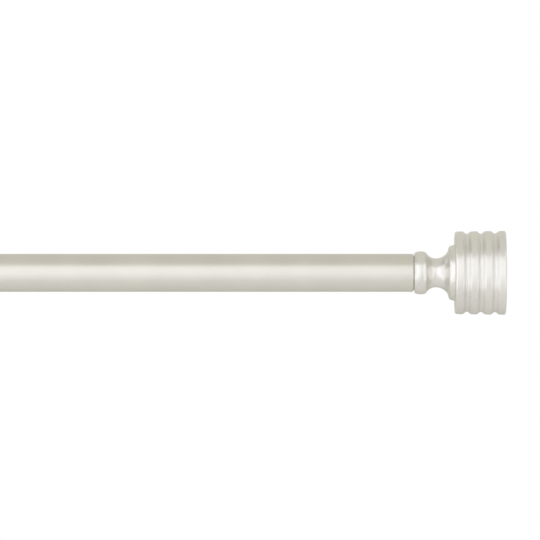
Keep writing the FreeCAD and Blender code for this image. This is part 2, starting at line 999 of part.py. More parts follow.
def make_pair(side, name, make_one):
    """Two identical pieces, above and below the arm, kept as one sub-part."""
    pieces = []
    for where, sign in (("upper", 1), ("lower", -1)):
        piece = make_one(f"{side}_{name}_{where}")
        on_wall(piece, side, 0, s.wall_hole_spacing / 2 * sign, INWARD)
        pieces.append(piece)
    pair = doc.addObject("Part::Compound", f"{side}_{name}")
    pair.Links = pieces
    export(pair, f"{side}_{name}")


def make_wall_screw(name):
    """A pan-head wood screw with a cross recess; its own X axis runs into the wall."""
    seat = -s.plate_thick
    top = seat - s.wall_screw_head_height
    radius = s.wall_screw_od / 2
    corners = [
        (top, 0),
        (top, s.wall_screw_head / 2),
        (seat, s.wall_screw_head / 2),
        (seat, radius),
        (s.wall_screw_length - s.wall_screw_point, radius),
        (s.wall_screw_length, 0),
    ]
    screw = turned(name, corners)
    round_edges(screw, 1.6, ring(top, s.wall_screw_head))
    for index, (across, up) in enumerate(((0.9, 4.4), (4.4, 0.9))):
        primitive(
            screw,
            "SubtractiveBox",
            f"recess_{index}",
            (top - 1, as_size(-across / 2), as_size(-up / 2)),
            ALONG,
            Length=2.6,
            Width=across,
            Height=up,
        )
    return screw


def make_wall_anchor(name):
    bore = s.wall_screw_od / 2
    radius = s.anchor_od / 2
    corners = [(0, bore), (0, radius), (s.anchor_length - 2, radius), (s.anchor_length, bore + 0.3)]
    corners.append((s.wall_screw_length - s.wall_screw_point, bore))
    return turned(name, corners)


def make_bracket(side):
    make_wall_plate(side)
    make_wall_cover(side)
    make_arm_sleeve(side)
    make_arm_bolt(side)
    make_arm_rod(side)
    make_cradle(side)
    make_cradle_pad(side)
    make_cradle_screw(side)
    make_arm_lock(side)
    make_rod_lock(side)
    make_pair(side, "wall_screws", make_wall_screw)
    make_pair(side, "wall_anchors", make_wall_anchor)


# ---- build -----------------------------------------------------------------------------------


def check_document():
    """Stops if any object failed, any sketch is loose or any sub-part is empty or invalid."""
    for item in doc.Objects:
        if "Invalid" in item.State or "Error" in item.State:
            raise RuntimeError(f"{item.Label} failed: {item.State}")
        if item.isDerivedFrom("Sketcher::SketchObject") and not item.FullyConstrained:
            raise RuntimeError(f"{item.Label} isn't fully constrained")
    for item in exported:
        if item.Shape.isNull() or not item.Shape.isValid() or not item.Shape.Solids:
            raise RuntimeError(f"{item.Label} has no valid solid")


def write_parts():
    os.makedirs("parts", exist_ok=True)
    for item in exported:
        item.Shape.exportStep(os.path.join("parts", item.Label + ".step"))
        box = item.Shape.BoundBox
        print(f"{item.Label}: {item.Shape.Volume:.0f} mm3, {len(item.Shape.Solids)} solid, "
              f"{box.XLength:.1f} x {box.YLength:.1f} x {box.ZLength:.1f}")


def main():
    make_sheet()
    make_rod()
    for side in SIDES:
        make_finial(side)
        make_bracket(side)
    doc.recompute()
    check_document()
    write_parts()


main()
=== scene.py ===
import math

import bmesh
import bpy
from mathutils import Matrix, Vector


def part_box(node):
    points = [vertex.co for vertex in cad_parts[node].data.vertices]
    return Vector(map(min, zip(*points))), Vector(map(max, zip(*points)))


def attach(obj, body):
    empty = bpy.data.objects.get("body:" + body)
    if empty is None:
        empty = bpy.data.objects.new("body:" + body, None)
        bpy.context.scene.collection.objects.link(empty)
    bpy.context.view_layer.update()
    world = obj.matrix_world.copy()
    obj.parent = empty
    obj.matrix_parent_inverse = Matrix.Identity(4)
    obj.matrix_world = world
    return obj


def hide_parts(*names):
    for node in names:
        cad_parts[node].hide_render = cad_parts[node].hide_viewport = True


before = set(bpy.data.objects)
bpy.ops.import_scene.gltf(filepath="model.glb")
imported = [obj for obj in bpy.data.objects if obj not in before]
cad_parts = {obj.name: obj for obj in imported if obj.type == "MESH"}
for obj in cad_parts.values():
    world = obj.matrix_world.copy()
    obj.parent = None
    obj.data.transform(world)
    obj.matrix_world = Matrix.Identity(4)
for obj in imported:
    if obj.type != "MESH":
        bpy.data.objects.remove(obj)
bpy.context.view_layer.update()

# Looks for a telescoping curtain rod: satin champagne metal, nylon fittings and zinc-plated screws.
# Lengths are written in millimetres and turned into metres where a mesh is made.

MM = 0.001
SIDES = ("right", "left")

# How many segments go round most pieces, round a tube, plug or cover, and round a small screw.
FINE = 160
TUBE_AROUND = 192
COARSE = 72

# The angle in degrees from which an edge stays hard, and how close points are merged after a cut.
HARD_ANGLE = 32
SLIVER = 0.006

# The rounding of an outline's corner that gives none, and of one that stays crisp. How much of a line
# the roundings may use.
LEAST_ROUNDING = 0.12
CRISP = 0.01
LINE_SHARE = 0.97

# In radians: the step round a rounding, a bend too slight to round, and half a tube's weld line.
ROUND_STEP = 0.2
SLIGHT_BEND = 0.02
WELD_HALF = 0.04


# ---- axes and outlines ----


class Axis:
    """A straight line that turned pieces are made round: a start point, a direction and a side."""

    def __init__(self, start, along, side=(0, 0, 1)):
        self.start = Vector(start)
        self.along = Vector(along)
        self.side = Vector(side)
        self.other = self.along.cross(self.side)

    def spread(self, angle):
        """The direction away from the axis at an angle."""
        return self.side * math.cos(angle) + self.other * math.sin(angle)

    def at(self, along, radius, angle):
        """The point at an angle round the axis, with along and radius in millimetres."""
        return self.start + (self.along * along + self.spread(angle) * radius) * MM

    def span(self, node):
        """Where a node begins and ends along the axis, in millimetres."""
        ends = [(corner - self.start).dot(self.along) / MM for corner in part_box(node)]
        return min(ends), max(ends)

    def moved(self, sideways):
        """A parallel axis, moved towards its side by some millimetres."""
        return Axis(self.start + self.side * sideways * MM, self.along, self.side)


def centre_of(node):
    """The middle of a node's box."""
    low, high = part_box(node)
    return (low + high) / 2


def reach(node, letter):
    """Half of a node's width along X, Y or Z, in millimetres."""
    low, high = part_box(node)
    return (getattr(high, letter) - getattr(low, letter)) / 2 / MM


def rod_axis(side):
    """The rod's line, starting at its end on that side and pointing outwards."""
    middle = centre_of(f"{side}_finial_washer")
    low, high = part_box(f"{side}_finial_washer")
    if side == "right":
        return Axis((low.x, middle.y, middle.z), (1, 0, 0))
    return Axis((high.x, middle.y, middle.z), (-1, 0, 0))


def wall_axis(side):
    """The line through a bracket's arm, starting on the wall and pointing into the room."""
    middle = centre_of(f"{side}_arm_sleeve")
    return Axis((middle.x, 0, middle.z), (0, -1, 0))


def lock_axis(side, what):
    """The line of a lock screw, starting at its tip and pointing down."""
    middle = centre_of(f"{side}_{what}_lock_tip")
    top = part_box(f"{side}_{what}_lock_tip")[1].z
    return Axis((middle.x, middle.y, top), (0, 0, -1), (1, 0, 0))


def arc(start, end, radius, turn, steps=14):
    """Points after start along an arc to end. turn is 1 when it bends left and -1 when right."""
    chord = (end[0] - start[0], end[1] - start[1])
    length = math.hypot(*chord)
    height = math.sqrt(radius * radius - length * length / 4) * turn
    centre = (
        (start[0] + end[0]) / 2 - chord[1] / length * height,
        (start[1] + end[1]) / 2 + chord[0] / length * height,
    )
    first = math.atan2(start[1] - centre[1], start[0] - centre[0])
    sweep = 2 * math.asin(length / 2 / radius) * turn
    points = []
    for step in range(1, steps + 1):
        angle = first + sweep * step / steps
        way = (math.cos(angle), math.sin(angle))
        normal = (-way[0] * turn, -way[1] * turn)
        points.append((centre[0] + radius * way[0], centre[1] + radius * way[1], normal))
    return points


def run(start, end, radius, spacing):
    """Evenly spaced corners along a straight stretch, for a surface that a shape function moves."""
    count = max(1, round(abs(end - start) / spacing))
    return [(start + (end - start) * step / count, radius) for step in range(count + 1)]


def rounding(corner):
    """How much a corner is rounded; an arc's points aren't."""
    if len(corner) == 2:
        return LEAST_ROUNDING
    return 0.0 if isinstance(corner[2], tuple) else corner[2]


def turn_corner(before, here, after):
    """The points of one rounded corner as (along, radius, normal, edge).

    Two neighbouring corners share the line between them in proportion to their rounding.
    """
    size = rounding(here)
    back = Vector((before[0] - here[0], before[1] - here[1]))
    on = Vector((after[0] - here[0], after[1] - here[1]))
    back_share = size / (size + rounding(before))
    on_share = size / (size + rounding(after))
    longest = LINE_SHARE * min(back.length * back_share, on.length * on_share)
    back.normalize()
    on.normalize()
    inside = back.angle(on)
    if inside > math.pi - SLIGHT_BEND:
        return [(here[0], here[1], (back.y, -back.x), 0.0)]
    trim = min(size / math.tan(inside / 2), longest)
    size = trim * math.tan(inside / 2)
    centre = Vector(here[:2]) + (back + on).normalized() * size / math.sin(inside / 2)
    outer = back.x * on.y - back.y * on.x > 0
    first, last = (Vector(here[:2]) + way * trim - centre for way in (back, on))
    start = math.atan2(first.y, first.x)
    sweep = (math.atan2(last.y, last.x) - start + math.pi) % (2 * math.pi) - math.pi
    steps = max(3, math.ceil(abs(sweep) / ROUND_STEP))
    sign = 1 if outer else -1
    points = []
    for step in range(steps + 1):
        angle = start + sweep * step / steps
        way = Vector((math.cos(angle), math.sin(angle)))
        edge = math.sin(math.pi * step / steps) if outer else 0.0
        points.append((*(centre + way * size), tuple(way * sign), edge))
    return points


def rounded(corners):
    """Rounds an outline's corners.

    A corner is (along, radius) or (along, radius, rounding). An arc's points have a normal in the third
    place and keep it. The outline runs clockwise: from its inner left corner up, then right. One that
    starts and ends on the axis is left open there. Returns (along, radius, normal, edge) points, with
    edge 1 on the crown of a rounded outer corner.
    """
    last = len(corners) - 1
    opened = corners[0][1] == 0 and corners[last][1] == 0
    points = []
    for index, corner in enumerate(corners):
        if len(corner) == 3 and isinstance(corner[2], tuple):
            points.append((*corner, 0.0))
        elif opened and index in (0, last):
            points.append((corner[0], 0.0, (-1.0 if index == 0 else 1.0, 0.0), 0.0))
        else:
            points += turn_corner(corners[index - 1], corner, corners[(index + 1) % (last + 1)])
    return points


# ---- meshes ----


def new_piece(name, vertices, faces, material, marks=None, normals=None, sharp=None):
    """A mesh object. marks are float attributes for the material; sharp is the angle of a hard edge."""
    mesh = bpy.data.meshes.new(name)
    mesh.from_pydata(vertices, [], faces)
    mesh.validate()
    mesh.shade_smooth()
    mesh.materials.append(material)
    for mark, values in (marks or {}).items():
        mesh.attributes.new(mark, "FLOAT", "POINT").data.foreach_set("value", values)
    if normals is not None:
        mesh.normals_split_custom_set_from_vertices(normals)
    elif sharp is not None:
        mesh.set_sharp_from_angle(angle=math.radians(sharp))
    piece = bpy.data.objects.new(name, mesh)
    bpy.context.scene.collection.objects.link(piece)
    return piece


def lathe(name, axis, corners, material, segments=FINE, shape=None, seam=None, sharp=HARD_ANGLE):
    """Revolves an outline round an axis.

    shape(along, radius, angle) returns the radius that the surface is moved to; a piece without it keeps
    its exact normals. seam is the angle of a weld line.
    """
    outline = rounded(corners)
    vertices, normals, edge, seams, rows = [], [], [], [], []
    for step in range(segments):
        angle = 2 * math.pi * step / segments
        row = []
        for place, (along, radius, normal, crown) in enumerate(outline):
            if radius == 0 and step > 0:
                row.append(rows[0][place])
                continue
            moved = shape(along, radius, angle) if shape else radius
            row.append(len(vertices))
            vertices.append(axis.at(along, moved, angle))
            normals.append((axis.along * normal[0] + axis.spread(angle) * normal[1]).normalized())
            edge.append(crown)
            seams.append(0.0 if seam is None or abs(angle - seam) > WELD_HALF else 1.0)
        rows.append(row)
    opened = outline[0][1] == 0 and outline[-1][1] == 0
    faces = []
    for step in range(segments):
        here, there = rows[step], rows[(step + 1) % segments]
        for place in range(len(outline) - opened):
            following = (place + 1) % len(outline)
            around = (here[place], there[place], there[following], here[following])
            faces.append(tuple(dict.fromkeys(around)))
    marks = {"edge": edge, "seam": seams}
    return new_piece(name, vertices, faces, material, marks, None if shape else normals, sharp)


def drill(piece, *tools):
    """Cuts the tools out of a piece and removes them."""
    for tool in tools:
        change = piece.modifiers.new("drill", "BOOLEAN")
        change.solver = "EXACT"
        change.object = tool
    seen = piece.evaluated_get(bpy.context.evaluated_depsgraph_get())
    mesh = bpy.data.meshes.new_from_object(seen)
    piece.modifiers.clear()
    piece.data = mesh
    for tool in tools:
        bpy.data.objects.remove(tool)
    cleaned = bmesh.new()
    cleaned.from_mesh(mesh)
    bmesh.ops.remove_doubles(cleaned, verts=cleaned.verts, dist=SLIVER * MM)
    bmesh.ops.dissolve_degenerate(cleaned, edges=cleaned.edges, dist=SLIVER * MM)
    cleaned.to_mesh(mesh)
    cleaned.free()
    mesh.shade_smooth()
    mesh.set_sharp_from_angle(angle=math.radians(HARD_ANGLE))
    even = piece.modifiers.new("even", "WEIGHTED_NORMAL")
    even.keep_sharp = True


def turned_tool(axis, *corners):
    """A tool for drill(), revolved from an outline that is closed onto the axis at both ends."""
    keen, around = 0.001, 48
    sharp = [(along, radius, keen) for along, radius in corners]
    outline = [(corners[0][0], 0), *sharp, (corners[-1][0], 0)]
    return lathe("tool", axis, outline, materials["zinc_steel"], around)


def finish_piece(piece, body, slot, *nodes):
    """Puts a piece on its body and lets it stand for CAD nodes. Its slot is not used."""
    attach(piece, body)
    if nodes:
        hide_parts(*nodes)


def turn_piece(name, axis, corners, slot, body, node, segments=FINE, shape=None, **more):
    """Turns a piece in its slot's material and finishes it."""
    piece = lathe(name, axis, corners, materials[slot], segments, shape, **more)
    finish_piece(piece, body, slot, node)


# ---- shapes that turned pieces take round their axis ----


def hexagon(flats, angle):
    """The reach of a hexagon's side at an angle, from its width across flats."""
    return flats / 2 / math.cos(angle % (math.pi / 3) - math.pi / 6)


def thread(along, angle, pitch):
    """How deep a screw thread is at a point, from 0 on its crest to 1 in its root."""
    steep, flat = 1.4, 0.2
    place = (along / pitch - angle / (2 * math.pi)) % 1
    return max(0.0, min(1.0, steep * abs(2 * place - 1) - flat))


def threaded(radius, pitch, depth, start, end):
    """A shape function that threads one radius between two places. A bore's depth is negative."""
    near = 0.02

    def shape(along, own, angle):
        if abs(own - radius) > near or not start <= along <= end:
            return own
        fade = min(1.0, (along - start) / pitch, (end - along) / pitch)
        return own - depth * fade * thread(along, angle, pitch)

    return shape


# ---- materials ----


class Nodes:
    """Short names for building one material's node tree."""

    def __init__(self, name):
        self.material = bpy.data.materials.new(name)
        self.material.use_nodes = True
        self.tree = self.material.node_tree
        self.shader = self.tree.nodes["Principled BSDF"]
        self.place = self.tree.nodes.new("ShaderNodeTexCoord").outputs["Object"]

    def link(self, output, target):
        self.tree.links.new(output, target)

    def noise(self, scale, detail, roughness=0.5):
        """Noise over the object's own place; scale is its frequency per metre along X, Y and Z."""
        mapping = self.tree.nodes.new("ShaderNodeMapping")
        mapping.inputs["Scale"].default_value = scale
        self.link(self.place, mapping.inputs["Vector"])
        node = self.tree.nodes.new("ShaderNodeTexNoise")
        node.inputs["Scale"].default_value = 1.0
        node.inputs["Detail"].default_value = detail
        node.inputs["Roughness"].default_value = roughness
        self.link(mapping.outputs["Vector"], node.inputs["Vector"])
        return node.outputs["Fac"]

    def spread(self, value, low, high):
        """Spreads a noise, which mostly lies between 0.3 and 0.7, from low to high."""
        node = self.tree.nodes.new("ShaderNodeMapRange")
        self.link(value, node.inputs["Value"])
        for name, number in {"From Min": 0.3, "From Max": 0.7, "To Min": low, "To Max": high}.items():
            node.inputs[name].default_value = number
        return node.outputs["Result"]

    def mix(self, share, low, high):
        """A colour between two colours, each a plain colour or another node's output."""
        node = self.tree.nodes.new("ShaderNodeMix")
        node.data_type = "RGBA"
        self.link(share, node.inputs["Factor"])
        for socket, colour in ((node.inputs["A"], low), (node.inputs["B"], high)):
            if isinstance(colour, tuple):
                socket.default_value = (*colour, 1)
            else:
                self.link(colour, socket)
        return node.outputs["Result"]

    def math(self, kind, first, second):
        node = self.tree.nodes.new("ShaderNodeMath")
        node.operation = kind
        for socket, value in zip(node.inputs, (first, second)):
            if isinstance(value, (int, float)):
                socket.default_value = value
            else:
                self.link(value, socket)
        return node.outputs["Value"]

    def mark(self, name):
        """A float attribute of the mesh, such as edge or seam."""
        node = self.tree.nodes.new("ShaderNodeAttribute")
        node.attribute_name = name
        return node.outputs["Fac"]

    def bump(self, height, depth):
        """A fine relief, with its depth in millimetres."""
        node = self.tree.nodes.new("ShaderNodeBump")
        node.inputs["Distance"].default_value = depth * MM
        self.link(height, node.inputs["Height"])
        self.link(node.outputs["Normal"], self.shader.inputs["Normal"])


def shade(colour, by):
    """A colour made lighter or darker."""
    return tuple(max(0.0, min(1.0, channel * by)) for channel in colour)


def metal(name, colour, roughness, streaks, depth=0.002, edge_wear_and_highlight=0.5, spread=0.05, worn_and_highlight_shade=1.16):
    """Plated metal: fine brushed streaks, faint clouds, small rub marks, worn edges that also carry a
    painted highlight, a weld line.
    """
    dull_cloud, bright_cloud = 0.965, 1.02
    weld_share, weld_shade, weld_roughness = 0.5, 0.72, 0.08
    least_wear_and_highlight = 0.2
    nodes = Nodes(name)
    shader = nodes.shader
    shader.inputs["Metallic"].default_value = 1.0
    clouds = nodes.noise((38, 38, 38), 4)
    lines = nodes.noise(streaks, 2)
    rubs = nodes.noise((210, 210, 210), 5, 0.65)
    base = nodes.mix(nodes.spread(clouds, 0, 1), shade(colour, dull_cloud), shade(colour, bright_cloud))
    weld = nodes.math("MULTIPLY", nodes.mark("seam"), weld_share)
    welded = nodes.mix(weld, base, shade(colour, weld_shade))
    # Painted highlight: the crowns of rounded edges are painted lighter, partly as rubbed plating and
    # partly as the light that a rim catches.
    worn_and_highlighted = nodes.math("MULTIPLY", nodes.mark("edge"), nodes.spread(rubs, least_wear_and_highlight, least_wear_and_highlight + edge_wear_and_highlight))
    nodes.link(nodes.mix(worn_and_highlighted, welded, shade(colour, worn_and_highlight_shade)), shader.inputs["Base Color"])
    soft = nodes.spread(clouds, roughness - spread / 2, roughness + spread / 2)
    fine = nodes.spread(rubs, -spread / 2, spread / 2)
    grain = nodes.spread(lines, -spread / 2, spread / 2)
    rough = nodes.math("ADD", nodes.math("ADD", soft, fine), grain)
    seam_rough = nodes.math("MULTIPLY", nodes.mark("seam"), weld_roughness)
    nodes.link(nodes.math("ADD", rough, seam_rough), shader.inputs["Roughness"])
    nodes.bump(lines, depth)
    return nodes.material


def moulded(name, colour, roughness, depth=0.02, subsurface=0.0):
    """Moulded plastic: slight mottling, a fine eggshell surface and rubbed, paler edges."""
    dark_patch, rubbed_edge = 0.9, 1.25
    glow_depth = 0.002
    nodes = Nodes(name)
    shader = nodes.shader
    mottle = nodes.noise((160, 160, 160), 4)
    grain = nodes.noise((2400, 2400, 2400), 2)
    base = nodes.mix(nodes.spread(mottle, 0, 1), shade(colour, dark_patch), colour)
    rubbed = nodes.math("MULTIPLY", nodes.mark("edge"), nodes.spread(mottle, 0.1, 0.6))
    nodes.link(nodes.mix(rubbed, base, shade(colour, rubbed_edge)), shader.inputs["Base Color"])
    nodes.link(nodes.spread(mottle, roughness - 0.06, roughness + 0.08), shader.inputs["Roughness"])
    if subsurface:
        shader.inputs["Subsurface Weight"].default_value = subsurface
        shader.inputs["Subsurface Scale"].default_value = glow_depth
    nodes.bump(grain, depth)
    return nodes.material


def rubber(name, colour):
    """A soft lining with a fine napped surface."""
    dark_patch = 0.75
    nodes = Nodes(name)
    nap = nodes.noise((3200, 3200, 3200), 4, 0.7)
    patches = nodes.noise((240, 240, 240), 3)
    base = nodes.mix(nodes.spread(patches, 0, 1), shade(colour, dark_patch), colour)
    nodes.link(base, nodes.shader.inputs["Base Color"])
    nodes.link(nodes.spread(nap, 0.78, 0.95), nodes.shader.inputs["Roughness"])
    nodes.bump(nap, 0.05)
    return nodes.material


# Base colours are linear. A satin nickel with a faint warm, champagne cast covers the rod and brackets.
CHAMPAGNE = (0.79, 0.772, 0.712)
FINIAL = (0.865, 0.848, 0.805)
ZINC = (0.62, 0.64, 0.66)
BLACK_NYLON = (0.012, 0.012, 0.013)
# Partly the nylon's own tone and partly painted light: set lighter to lift the shade in the slit at each
# finial washer.
NATURAL_NYLON = (0.80, 0.775, 0.70)
LINING = (0.13, 0.125, 0.115)
ANCHOR_GREY = (0.47, 0.48, 0.47)

# Streaks are noise stretched along one way, given by its frequency per metre along X, Y and Z.
AROUND_X = (2600, 30, 30)
ALONG_X = (6, 2200, 2200)
AROUND_Y = (30, 2600, 30)
AROUND_Z = (30, 30, 2600)
ACROSS_STRAP = (2400, 40, 40)
NO_STREAKS = (900, 900, 900)

materials = {
    # The tube's rims get the strongest edge lightening, which is mostly a painted highlight.
    "tube_metal": metal("satin_tube", CHAMPAGNE, 0.36, ALONG_X, 0.0015, edge_wear_and_highlight=0.8, worn_and_highlight_shade=1.27),
    "finial_metal": metal("satin_finial", FINIAL, 0.31, AROUND_X, 0.001),
    "bracket_metal": metal("satin_bracket", CHAMPAGNE, 0.34, AROUND_Y),
    "knob_metal": metal("satin_knob", CHAMPAGNE, 0.32, AROUND_Z),
    "strap_metal": metal("satin_strap", CHAMPAGNE, 0.36, ACROSS_STRAP),
    "zinc_steel": metal("zinc_plate", ZINC, 0.32, NO_STREAKS, 0.003, edge_wear_and_highlight=0.3, spread=0.08),
    "nylon_dark": moulded("black_nylon", BLACK_NYLON, 0.5),
    "nylon_pale": moulded("natural_nylon", NATURAL_NYLON, 0.42, 0.015, subsurface=0.1),
    "pad_rubber": rubber("grey_lining", LINING),
    "anchor_plastic": moulded("anchor_plastic", ANCHOR_GREY, 0.5, subsurface=0.1),
}


# ---- rod ----

TUBE_WALL = {"outer_tube": 1.0, "inner_tube": 0.8}
STUD, STUD_PITCH = 3.0, 1.0
NUT_FLATS = 10.0
PLUG_FLOOR = 6.0
PLUG_FLUTES = 8


def tube_axis(name):
    """The rod's line, starting at a node's left end and pointing right."""
    middle = centre_of(name)
    return Axis((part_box(name)[0].x, middle.y, middle.z), (1, 0, 0))


def make_tube(name, body, lip):
    """A tube whose faint weld line faces the wall. lip is the rounding of its right-hand end."""
    axis = tube_axis(name)
    start, end = axis.span(name)
    radius = reach(name, "z")
    bore = radius - TUBE_WALL[name]
    corners = [(start, bore, 0.15), (start, radius, 0.25), (end, radius, lip), (end, bore, 0.15)]
    to_wall = 1.5 * math.pi
    turn_piece(name + "_skin", axis, corners, "tube_metal", body, name, TUBE_AROUND, seam=to_wall)


def make_bush():
    """The black nylon bush in the outer tube's mouth, with a rounded flange."""
    axis = tube_axis("tube_mouth_bush")
    start, end = axis.span("tube_mouth_bush")
    flange, flange_end = reach("tube_mouth_bush", "z"), start + 1.2
    slide_gap = 0.08
    bore = reach("inner_tube", "z") + slide_gap
    sleeve = reach("outer_tube", "z") - TUBE_WALL["outer_tube"]
    corners = [
        (start, bore, 0.35),
        (start, flange, 0.45),
        (flange_end, flange, 0.15),
        (flange_end, sleeve, 0.1),
        (end, sleeve, 0.5),
        (end, bore, 0.3),
    ]
    turn_piece("mouth_bush_skin", axis, corners, "nylon_dark", "rod", "tube_mouth_bush")


def make_glide():
    """The nylon glide on the inner tube's hidden end, with three shallow rings cut round it."""
    axis = tube_axis("inner_tube_glide")
    start, end = axis.span("inner_tube_glide")
    outer, inner = reach("inner_tube_glide", "z"), reach("inner_tube", "z")
    floor = outer - 0.35
    half_top, half_floor = 1.2, 0.9
    corners = [(start, inner), (start, outer, 0.3)]
    for ring in (0.25, 0.5, 0.75):
        at = start + (end - start) * ring
        corners += [
            (at - half_top, outer, 0.15),
            (at - half_floor, floor, 0.15),
            (at + half_floor, floor, 0.15),
            (at + half_top, outer, 0.15),
        ]
    lip, mouth = 1.5, inner - 1.6
    corners += [(end, outer, 0.4), (end, mouth, 0.3), (end - lip, mouth), (end - lip, inner)]
    turn_piece("glide_skin", axis, corners, "nylon_pale", "rod_extension", "inner_tube_glide", 120)


def make_plug(side, body):
    """The fluted nylon plug in a tube's end, with a hexagonal pocket for its nut."""
    axis = rod_axis(side)
    name = f"{side}_end_plug"
    start, end = axis.span(name)
    outer, hole = reach(name, "z"), 3.3
    pocket = end - PLUG_FLOOR
    chamfer, skin = 1.0, 1.2
    flute_depth, flute_end, fade = 1.1, end - 3.0, 0.6
    pocket_gap = 0.3

    def shape(along, radius, angle):
        if radius > outer - skin:
            flute = max(0.0, math.cos(PLUG_FLUTES * angle)) ** 3
            shallow = min(1.0, max(0.0, (flute_end - along) / fade))
            return radius - flute_depth * flute * shallow
        if abs(radius - NUT_FLATS / 2) < 0.2:
            return hexagon(NUT_FLATS + pocket_gap, angle)
        return radius

    corners = [
        (start, NUT_FLATS / 2, CRISP),
        (start, outer - chamfer, 0.2),
        (start + chamfer, outer, 0.2),
        (end - 3.6, outer, CRISP),
        (end - 3.0, outer, CRISP),
        (end, outer, 0.25),
        (end, hole, 0.2),
        (pocket, hole, 0.1),
        (pocket, NUT_FLATS / 2, CRISP),
    ]
    turn_piece(f"{side}_plug_skin", axis, corners, "nylon_pale", body, name, TUBE_AROUND, shape)


def make_nut(side, what, bore, body):
    """A zinc-plated hexagon nut with bevelled corners and a threaded bore."""
    axis = rod_axis(side)
    name = f"{side}_{what}_nut"
    start, end = axis.span(name)
    thread_depth = -0.25
    cut = threaded(bore, STUD_PITCH, thread_depth, start, end)
    flat, blank, outside = 4.9, 6.0, 4.5

    def shape(along, radius, angle):
        if radius > outside:
            bevel = NUT_FLATS / 2 + min(along - start, end - along)
            return min(radius, hexagon(NUT_FLATS, angle), bevel)
        return cut(along, radius, angle)

    corners = [(start, bore), (start, flat, CRISP)]
    corners += run(start, end, blank, 0.25)
    corners += [(end, flat, CRISP), (end, bore)]
    corners += run(end - 0.15, start + 0.15, bore, 0.14)
    turn_piece(f"{side}_{what}_nut_skin", axis, corners, "zinc_steel", body, name, 96, shape)


def make_stud(side):
    """The finial's 6 mm threaded stud."""
    axis = rod_axis(side)
    name = f"{side}_finial_stud"
    start, end = axis.span(name)
    chamfer, inset, thread_depth = 0.6, 0.75, 0.4
    tip = STUD - chamfer
    corners = [(start, 0), (start, tip, 0.1), (start + chamfer, STUD, 0.05)]
    corners += run(start + inset, end - inset, STUD, STUD_PITCH / 8)
    corners += [(end - chamfer, STUD, 0.05), (end, tip, 0.1), (end, 0)]
    cut = threaded(STUD, STUD_PITCH, thread_depth, start + chamfer, end - chamfer)
    turn_piece(f"{side}_stud_skin", axis, corners, "zinc_steel", f"{side}_finial", name, 32, cut)


def make_washer(side):
    """The thin nylon washer between the tube and the finial."""
    axis = rod_axis(side)
    name = f"{side}_finial_washer"
    start, end = axis.span(name)
    outer, bore = reach(name, "z"), 3.3
    corners = [(start, bore, 0.1), (start, outer, 0.25), (end, outer, 0.25), (end, bore, 0.1)]
    turn_piece(f"{side}_washer_skin", axis, corners, "nylon_pale", name, name)


# ---- finials: sizes are measured outwards from the tube's end ----

GROOVES = 3
GROOVE_FIRST, GROOVE_PITCH = 8.0, 9.4
GROOVE_HALF, GROOVE_DEPTH = 3.2, 1.7


def make_neck(side):
    """A barrel-shaped collar, a hollowed waist and a crowned base disc, turned in one piece."""
    axis = rod_axis(side)
    name = f"{side}_finial_neck"
    start, end = axis.span(name)
    base = reach(name, "z")
    barrel, barrel_bend = ((start + 0.4, 13.6), (8.0, 13.8)), 9.1
    hollow, hollow_bend = (8.7, 13.1), 7.477
    waist = (15.0, 9.65)
    flare, flare_bend = (23.0, 14.3), 9.207
    shoulder = (23.5, 16.6)
    crown, crown_bend = ((24.2, base - 0.95), (end - 0.15, base)), 9.3
    corners = [(start, STUD), (start, 13.3, 0.25)]
    corners += arc(*barrel, barrel_bend, -1)
    corners += [(*hollow, 0.35)]
    corners += arc(hollow, waist, hollow_bend, 1)
    corners += arc(waist, flare, flare_bend, 1)
    corners += [(*shoulder, 0.7), (*crown[0], 0.5)]
    corners += arc(*crown, crown_bend, -1)
    corners += [(end, base - 0.1, 0.08), (end, STUD)]
    turn_piece(f"{side}_neck_skin", axis, corners, "finial_metal", f"{side}_finial", name)


def wave(middle, crest, steps=16):
    """A groove of the drum: a smooth wave between two crests, with exact normals."""
    points = []
    for step in range(steps + 1):
        off = GROOVE_HALF * (2 * step / steps - 1)
        turn = math.pi * off / GROOVE_HALF
        slope = GROOVE_DEPTH / 2 * math.pi / GROOVE_HALF * math.sin(turn)
        length = math.hypot(slope, 1)
        depth = GROOVE_DEPTH * (0.5 + 0.5 * math.cos(turn))
        points.append((middle + off, crest - depth, (-slope / length, 1 / length)))
    return points


def make_drum(side):
    """The drum: four ribs with smooth grooves between them, and a dished face with a raised centre."""
    axis = rod_axis(side)
    name = f"{side}_finial_drum"
    start, end = axis.span(name)
    outer = reach(name, "z")
    taper = 0.5

    def crest(along):
        return outer - taper * (end - along) / (end - start)

    inside, seat, seat_floor = 24.7, 26.0, start + 2
    back, dish, centre = end - 3.0, end - 1.0, end - 1.0 + 0.4
    rim = outer - 2.1
    corners = [(back, 0), (back, inside, 0.4), (seat_floor, inside, 0.15), (seat_floor, seat, 0.15)]
    corners += [(start, seat, 0.1), (start, crest(start), 2.0)]
    for index in range(GROOVES):
        middle = start + GROOVE_FIRST + GROOVE_PITCH * index
        corners += wave(middle, crest(middle))
    corners += [
        (end, outer, 1.4),
        (end, rim - 1.5, 0.8),
        (dish, rim - 3.0, 0.8),
        (dish, 7.0, 0.3),
        (centre, 6.4, 0.3),
        (centre, 0),
    ]
    turn_piece(f"{side}_drum_skin", axis, corners, "finial_metal", f"{side}_finial", name, 224)


def make_back_disc(side):
    """The disc that closes the drum's inner end, with a shallow pressed ring."""
    axis = rod_axis(side)
    name = f"{side}_finial_back_disc"
    start, end = axis.span(name)
    outer = reach(name, "z") - 0.05
    pressed = start + 0.35
    corners = [
        (start, STUD),
        (start, 21.6, 0.3),
        (pressed, 22.1, 0.3),
        (pressed, 23.6, 0.3),
        (start, 24.1, 0.3),
        (start, outer, 0.25),
        (end, outer, 0.2),
        (end, STUD),
    ]
    turn_piece(f"{side}_disc_skin", axis, corners, "finial_metal", f"{side}_finial", name)


